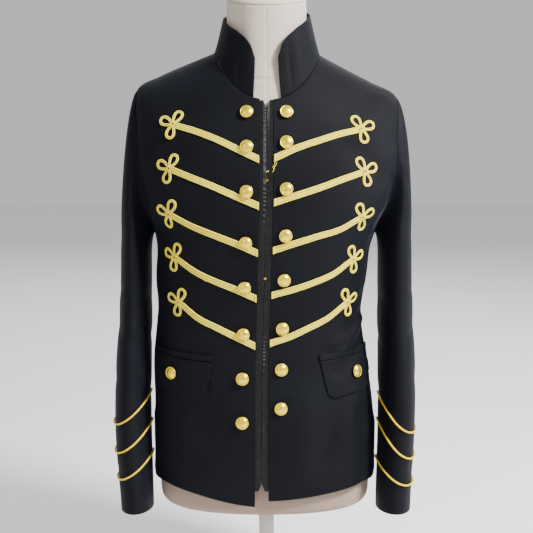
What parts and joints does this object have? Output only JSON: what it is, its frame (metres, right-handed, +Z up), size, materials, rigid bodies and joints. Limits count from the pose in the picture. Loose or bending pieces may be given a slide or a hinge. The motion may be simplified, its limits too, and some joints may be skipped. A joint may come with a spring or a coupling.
{
  "type": "napoleon jacket on a dress form",
  "caption": "Black open-collared military style jacket with gold braid and buttons, worn by a linen dress form on a round stand.",
  "frame": {"origin": "centre of the underside of the stand's round base", "axes": "+Z up, the jacket's front faces -Y, the wearer's left is +X"},
  "size_m": [0.4912, 0.31, 0.9952],
  "materials": {
    "wool": "matte black twill",
    "closure_tape": "shiny black tape",
    "gold_braid": "pale gold woven braid",
    "gold_button": "polished gold",
    "linen": "natural linen",
    "stand": "satin pale paint"
  },
  "bodies": {
    "root": {"back": "wool", "braid_left_1": "gold_braid", "braid_left_2": "gold_braid", "braid_left_3": "gold_braid", "braid_left_4": "gold_braid", "braid_left_5": "gold_braid", "braid_right_1": "gold_braid", "braid_right_2": "gold_braid", "braid_right_3": "gold_braid", "braid_right_4": "gold_braid", "braid_right_5": "gold_braid", "button_left_1": "gold_button", "button_left_2": "gold_button", "button_left_3": "gold_button", "button_left_4": "gold_button", "button_left_5": "gold_button", "button_left_6": "gold_button", "button_left_7": "gold_button", "button_left_8": "gold_button", "button_pocket_left": "gold_button", "button_pocket_right": "gold_button", "button_right_1": "gold_button", "button_right_2": "gold_button", "button_right_3": "gold_button", "button_right_4": "gold_button", "button_right_5": "gold_button", "button_right_6": "gold_button", "button_right_7": "gold_button", "button_right_8": "gold_button", "collar": "wool", "cuff_cord_left_1": "gold_braid", "cuff_cord_left_2": "gold_braid", "cuff_cord_left_3": "gold_braid", "cuff_cord_right_1": "gold_braid", "cuff_cord_right_2": "gold_braid", "cuff_cord_right_3": "gold_braid", "form_base": "stand", "form_neck_cap": "linen", "form_pole": "stand", "form_torso": "linen", "front_left": "wool", "front_right": "wool", "hook_tape_left": "closure_tape", "hook_tape_right": "closure_tape", "pocket_flap_left": "wool", "pocket_flap_right": "wool", "pocket_welt_left": "wool", "pocket_welt_right": "wool", "sleeve_left": "wool", "sleeve_right": "wool"}
  },
  "joints": []
}
